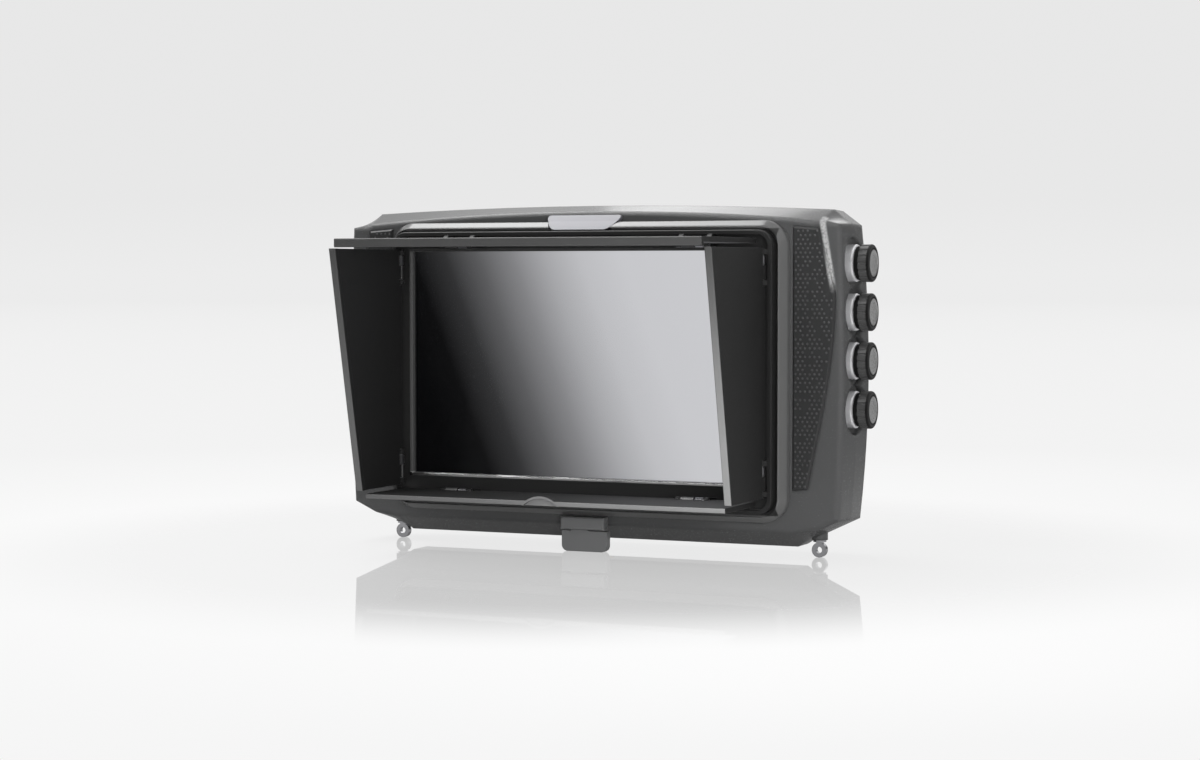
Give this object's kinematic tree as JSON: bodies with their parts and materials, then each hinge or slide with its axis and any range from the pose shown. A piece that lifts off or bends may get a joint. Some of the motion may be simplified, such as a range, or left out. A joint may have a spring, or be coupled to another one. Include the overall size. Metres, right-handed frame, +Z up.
{
  "type": "camera field monitor with folding sun hood",
  "caption": "Flat field monitor with a widescreen picture, a folding sun hood of spring-hinged flaps, side control knobs, dimpled grips and a tripod socket underneath.",
  "frame": {"origin": "mouth of the tripod socket, in the flat underside of the body", "axes": "+X to the right as seen by someone watching the screen, +Y from the screen to the back of the body, +Z up"},
  "size_m": [0.2299, 0.1185, 0.1403],
  "materials": {
    "shell": "moulded, satin dark grey",
    "frame": "moulded, satin dark grey with polished bevel",
    "flap": "moulded, matt near-black",
    "grip": "moulded, fine dimples",
    "knob": "moulded, ribbed, satin",
    "chrome": "polished plating",
    "steel": "turned or stamped",
    "brass": "turned",
    "trim": "thin light edge round the window",
    "rubber": "die-cut gasket",
    "glass": "coated cover glass",
    "panel_metal": "stamped sheet",
    "cell": "dark display cell",
    "board": "printed circuit board",
    "chip": "moulded packages and connectors",
    "ribbon": "flat flexible cable",
    "black_plastic": "moulded",
    "lens": "frosted translucent lens"
  },
  "bodies": {
    "monitor": {"backlight_tray": "panel_metal", "bnc_jacks": "chrome", "board_chips": "chip", "board_screws": "steel", "case_screws": "steel", "catch_block": "shell", "catch_pin": "steel", "catch_spring": "steel", "control_board": "board", "flap_springs": "steel", "front_shell": "shell", "hdmi_socket": "steel", "hinge_pins": "steel", "hood_frame": "frame", "input_switch": "black_plastic", "knob_collars": "chrome", "knob_pots": "panel_metal", "lcd_cell": "cell", "lcd_panel": "panel_metal", "left_grip": "grip", "main_board": "board", "panel_ribbon": "ribbon", "power_socket": "black_plastic", "rear_cover": "shell", "right_grip": "grip", "screen_glass": "glass", "screen_seal": "rubber", "screen_trim": "trim", "strap_eyelets": "chrome", "switch_housing": "black_plastic", "tally_board": "board", "tally_lens": "lens", "tripod_socket": "brass"},
    "right_hood": {"right_flap": "flap"},
    "left_hood": {"left_flap": "flap"},
    "top_hood": {"top_flap": "flap"},
    "bottom_hood": {"bottom_flap": "flap"},
    "catch": {"hood_catch": "shell"},
    "rocker": {"power_rocker": "black_plastic"},
    "button": {"input_button": "knob"},
    "control_1": {"knob_1": "knob", "knob_shaft_1": "steel"},
    "control_2": {"knob_2": "knob", "knob_shaft_2": "steel"},
    "control_3": {"knob_3": "knob", "knob_shaft_3": "steel"},
    "control_4": {"knob_4": "knob", "knob_shaft_4": "steel"}
  },
  "joints": [
    {"name": "right_flap_fold", "type": "hinge", "parent": "monitor", "child": "right_hood", "pos_m": [0.0796, -0.0282, 0.0696], "axis": [0, 0, -1], "range_deg": [0, 90], "stiffness_Nm_per_rad": 0.01, "springref_deg": -114.59},
    {"name": "left_flap_fold", "type": "hinge", "parent": "monitor", "child": "left_hood", "pos_m": [-0.0796, -0.0282, 0.0696], "axis": [0, 0, 1], "range_deg": [0, 90], "stiffness_Nm_per_rad": 0.01, "springref_deg": -114.59},
    {"name": "top_flap_fold", "type": "hinge", "parent": "monitor", "child": "top_hood", "pos_m": [0, -0.0315, 0.1198], "axis": [1, 0, 0], "range_deg": [0, 90], "stiffness_Nm_per_rad": 0.01, "springref_deg": -114.59},
    {"name": "bottom_flap_fold", "type": "hinge", "parent": "monitor", "child": "bottom_hood", "pos_m": [0, -0.0315, 0.0193], "axis": [-1, 0, 0], "range_deg": [0, 90], "stiffness_Nm_per_rad": 0.01, "springref_deg": -114.59},
    {"name": "catch_swing", "type": "hinge", "parent": "monitor", "child": "catch", "pos_m": [0, -0.0196, 0.0063], "axis": [-1, 0, 0], "range_deg": [0, 25], "stiffness_Nm_per_rad": 0.02, "springref_deg": -28.65},
    {"name": "knob_1_turn", "type": "hinge", "parent": "monitor", "child": "control_1", "pos_m": [0.1072, -0.005, 0.1123], "axis": [1, 0, 0], "range_deg": [-150, 150]},
    {"name": "knob_2_turn", "type": "hinge", "parent": "monitor", "child": "control_2", "pos_m": [0.1072, -0.005, 0.0932], "axis": [1, 0, 0], "range_deg": [-150, 150]},
    {"name": "knob_3_turn", "type": "hinge", "parent": "monitor", "child": "control_3", "pos_m": [0.1072, -0.005, 0.0741], "axis": [1, 0, 0], "range_deg": [-150, 150]},
    {"name": "knob_4_turn", "type": "hinge", "parent": "monitor", "child": "control_4", "pos_m": [0.1072, -0.005, 0.055], "axis": [1, 0, 0], "range_deg": [-150, 150]},
    {"name": "rocker_tip", "type": "hinge", "parent": "monitor", "child": "rocker", "pos_m": [0.048, 0.0194, 0.0416], "axis": [1, 0, 0], "range_deg": [0, 14]},
    {"name": "button_press", "type": "slide", "parent": "monitor", "child": "button", "axis": [0, -1, 0], "range_m": [0, 0.0008], "stiffness_N_per_m": 1500, "springref_m": -0.0005}
  ]
}
